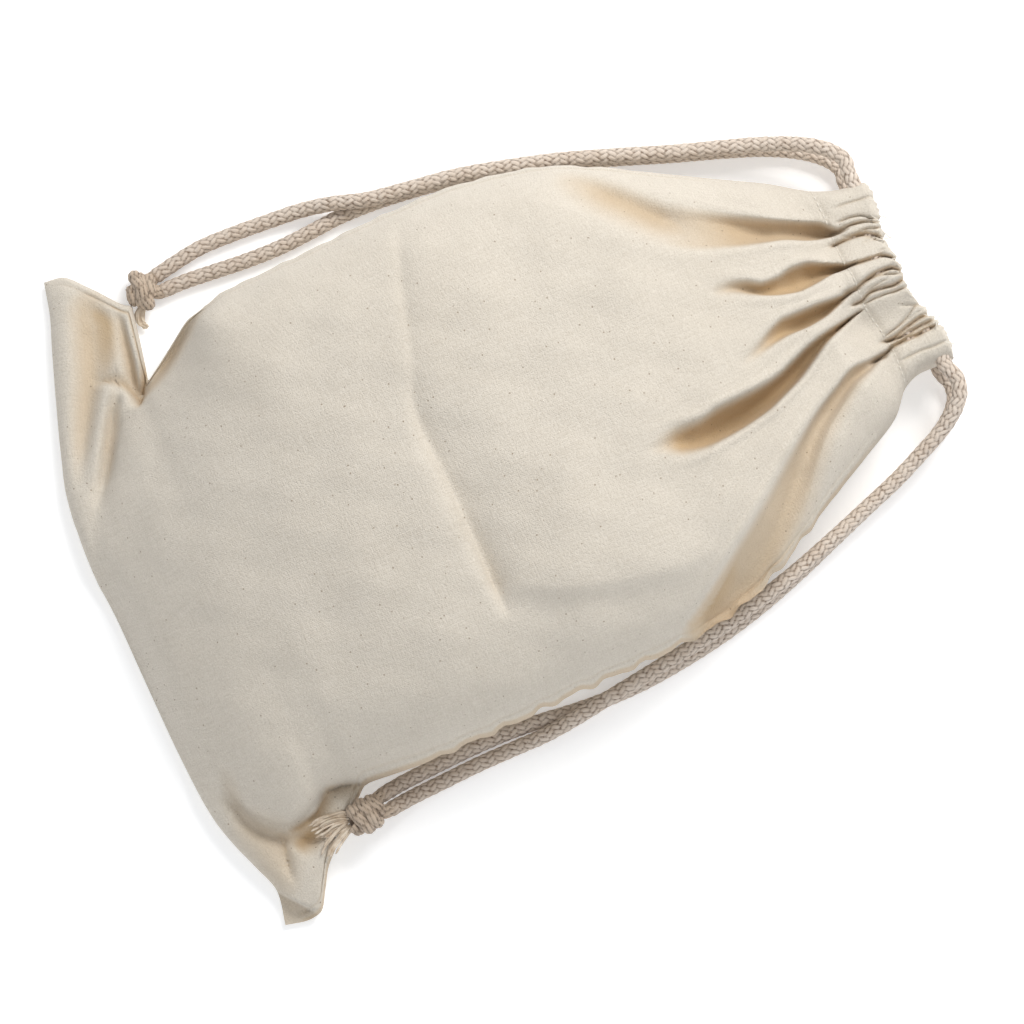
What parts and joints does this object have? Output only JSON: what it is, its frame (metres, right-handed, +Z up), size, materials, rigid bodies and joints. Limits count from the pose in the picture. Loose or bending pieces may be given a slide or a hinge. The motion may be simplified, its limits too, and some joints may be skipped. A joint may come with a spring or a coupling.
{
  "type": "drawstring bag",
  "caption": "Cotton drawstring backpack lying on its back, softly filled out, mouth gathered shut by braided cords that run down its sides as shoulder straps.",
  "frame": {"origin": "middle of the bag's own box, on the surface it lies on, without the cords", "axes": "+Z up, away from the surface; +Y from the bottom fold towards the gathered mouth, the bag's longest way; +X to the right, seen from above with the mouth away"},
  "size_m": [0.3517, 0.4405, 0.097],
  "materials": {
    "cotton_cloth": "unbleached plain weave cotton with seed flecks",
    "cotton_cord": "soft braided cotton"
  },
  "bodies": {
    "root": {"bag_cloth": "cotton_cloth", "cord_left": "cotton_cord", "cord_right": "cotton_cord", "knot_left": "cotton_cord", "knot_right": "cotton_cord", "tail_left": "cotton_cord", "tail_right": "cotton_cord"}
  },
  "joints": []
}
